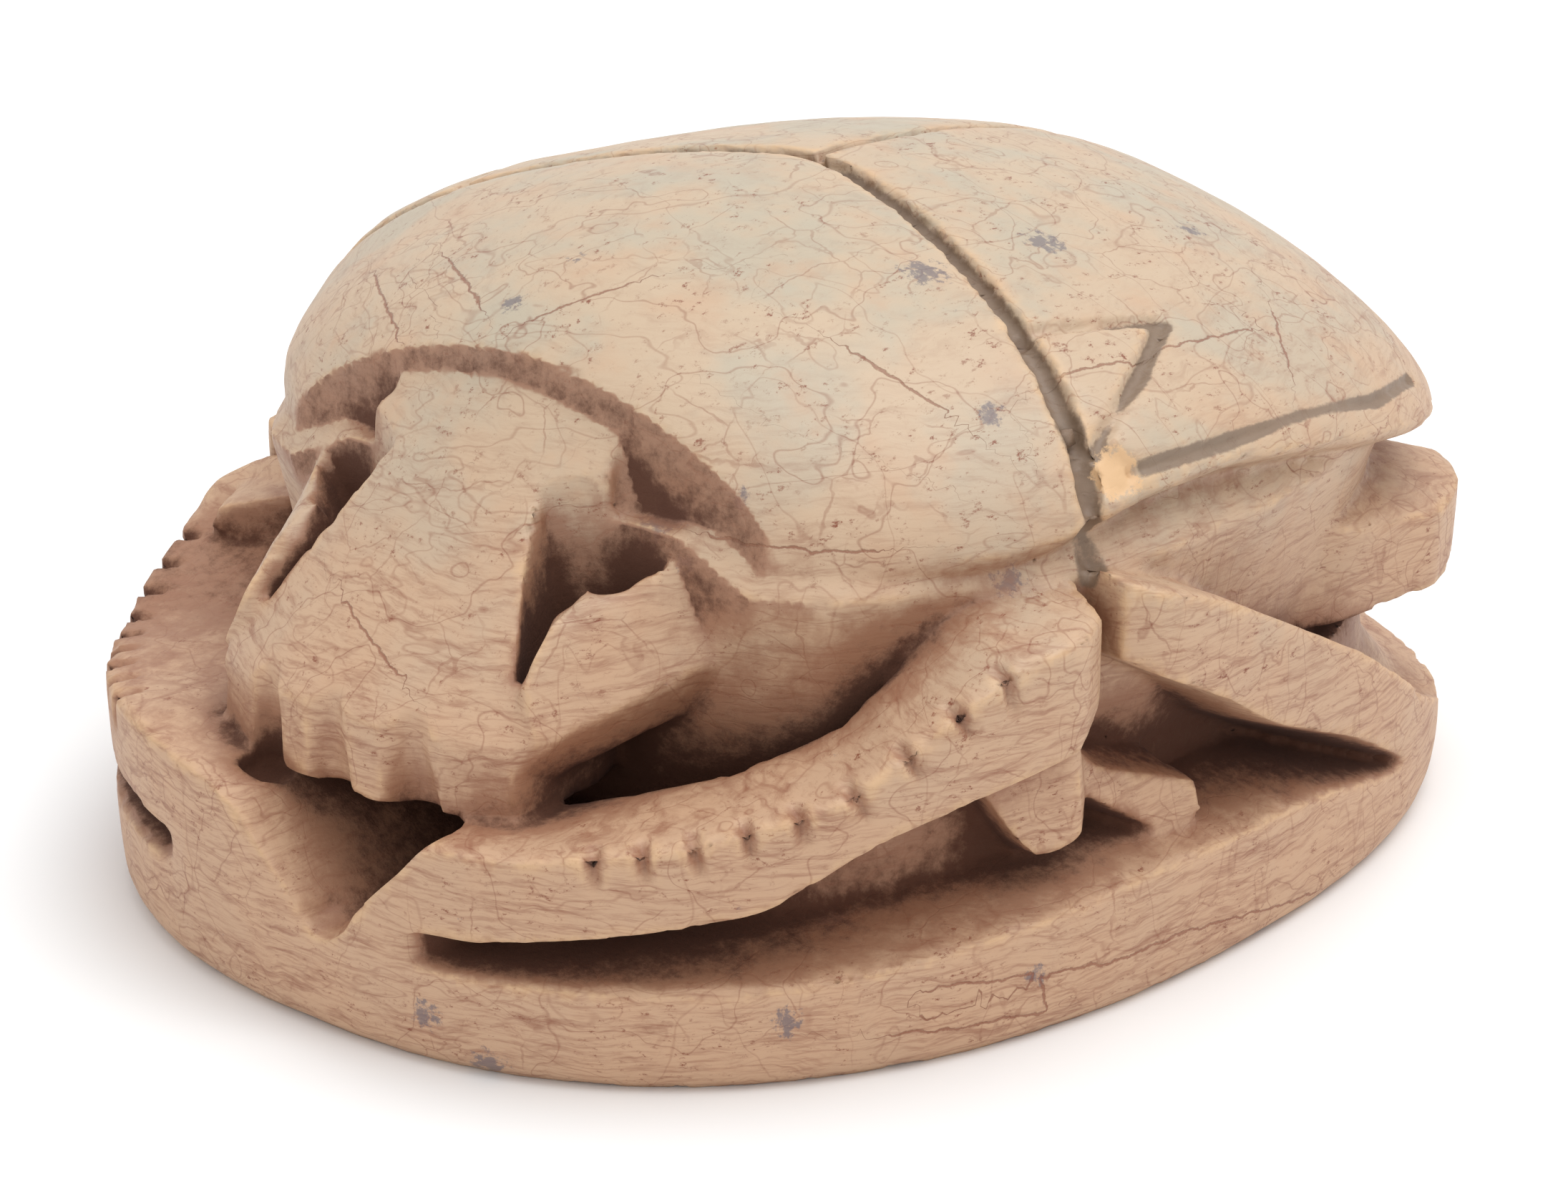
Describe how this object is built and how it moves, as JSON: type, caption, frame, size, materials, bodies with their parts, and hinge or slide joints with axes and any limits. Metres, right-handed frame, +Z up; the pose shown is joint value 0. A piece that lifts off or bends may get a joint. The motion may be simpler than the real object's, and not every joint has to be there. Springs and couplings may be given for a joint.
{
  "type": "scarab amulet",
  "caption": "Oval scarab amulet carved from one pale stone: wedge head, domed back with incised wing cases, folded legs undercut round the rim, flat plain underside.",
  "frame": {"origin": "centre of the part's box on the underside, where it lies on the table", "axes": "+Z up through the back; +Y along the length towards the tail, so the head faces -Y; +X towards the beetle's left flank"},
  "size_m": [0.0428, 0.051, 0.0241],
  "materials": {
    "carved_stone": "softly polished, brown deposit in the hollows"
  },
  "bodies": {
    "root": {"scarab": "carved_stone"}
  },
  "joints": []
}
